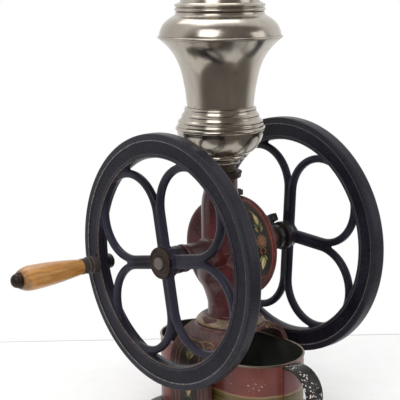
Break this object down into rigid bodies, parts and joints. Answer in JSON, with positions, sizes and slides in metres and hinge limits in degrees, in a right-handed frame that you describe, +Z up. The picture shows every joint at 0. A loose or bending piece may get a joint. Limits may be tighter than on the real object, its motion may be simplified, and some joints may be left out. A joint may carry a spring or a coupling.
{
  "type": "hand crank coffee grinder",
  "caption": "Counter coffee mill with two flywheels on one shaft, a wooden crank grip, burr drum on a column, urn-shaped nickel hopper with lid and an oval catch can under an arched base.",
  "frame": {"origin": "centre of the base plate's underside, on the counter", "axes": "+X along the shaft away from the crank, -Y towards the side the can's handle is on, +Z up"},
  "size_m": [0.4539, 0.394, 0.7465],
  "materials": {
    "black_enamel": "worn gloss enamel on cast iron",
    "red_enamel": "oxblood enamel with hand-painted flowers and pinstripes, rubbed at the edges",
    "wheel_enamel": "blue-black gloss enamel, rubbed grey on the outer rim",
    "dark_steel": "blackened",
    "worn_steel": "brown patina, handled",
    "burr_iron": "ground teeth",
    "bearing_brass": "turned",
    "grip_wood": "varnished, worn pale at the ends",
    "brown_iron": "browned",
    "nickel_plate": "tarnished nickel, polished",
    "can_red": "red lacquer with an olive band, black inside",
    "can_black": "chipped black lacquer",
    "tin_edge": "bare tin"
  },
  "bodies": {
    "frame": {"base_plate": "black_enamel", "base_arch": "red_enamel", "arch_bolts": "dark_steel", "mill_column": "red_enamel", "mill_body": "red_enamel", "column_bolts": "dark_steel", "housing_cover": "red_enamel", "cover_screws": "dark_steel", "top_bolt": "dark_steel", "near_bush": "bearing_brass", "far_bush": "bearing_brass", "fixed_burr": "burr_iron", "neck_nut": "brown_iron", "hopper_neck": "brown_iron", "hopper_bowl": "nickel_plate", "hopper_collar": "nickel_plate", "hopper_urn": "nickel_plate", "urn_girdle": "nickel_plate", "hopper_shoulder": "nickel_plate"},
    "carrier": {"thrust_washer": "bearing_brass"},
    "rotor": {"turning_burr": "burr_iron", "burr_key": "dark_steel", "feed_worm": "burr_iron", "main_shaft": "worn_steel", "near_wheel": "wheel_enamel", "far_wheel": "wheel_enamel", "wheel_keys": "dark_steel", "crank_pin": "worn_steel", "rim_nut": "dark_steel", "grip_nut": "dark_steel"},
    "grip": {"grip": "grip_wood", "grip_ferrule": "worn_steel"},
    "regulator": {"grind_nut": "black_enamel", "lock_screw": "black_enamel"},
    "lid": {"lid_rim": "nickel_plate", "lid_dome": "nickel_plate", "lid_knob": "nickel_plate"},
    "can": {"can_body": "can_red", "can_bottom": "can_black", "can_wire": "tin_edge", "can_handle": "can_black", "handle_rivets": "dark_steel"}
  },
  "joints": [
    {"name": "grind_gap", "type": "slide", "parent": "frame", "child": "carrier", "axis": [1, 0, 0], "range_m": [-0.0005, 0.0005]},
    {"name": "crank_turn", "type": "hinge", "parent": "carrier", "child": "rotor", "pos_m": [0, 0, 0.28], "axis": [1, 0, 0], "continuous": true},
    {"name": "grip_turn", "type": "hinge", "parent": "rotor", "child": "grip", "pos_m": [-0.23, 0.16769, 0.24649], "axis": [1, 0, 0], "continuous": true},
    {"name": "nut_turn", "type": "hinge", "parent": "carrier", "child": "regulator", "pos_m": [0.112, 0, 0.28], "axis": [1, 0, 0], "range_deg": [-92, 92]},
    {"name": "lid_lift", "type": "slide", "parent": "frame", "child": "lid", "axis": [0, 0, 1], "range_m": [0, 0.12]},
    {"name": "can_slide", "type": "slide", "parent": "frame", "child": "can", "axis": [0, -1, 0], "range_m": [0, 0.28]}
  ],
  "couplings": [
    {"joint": "nut_turn", "follows": "grind_gap", "rad_per_m": 3141.6}
  ]
}
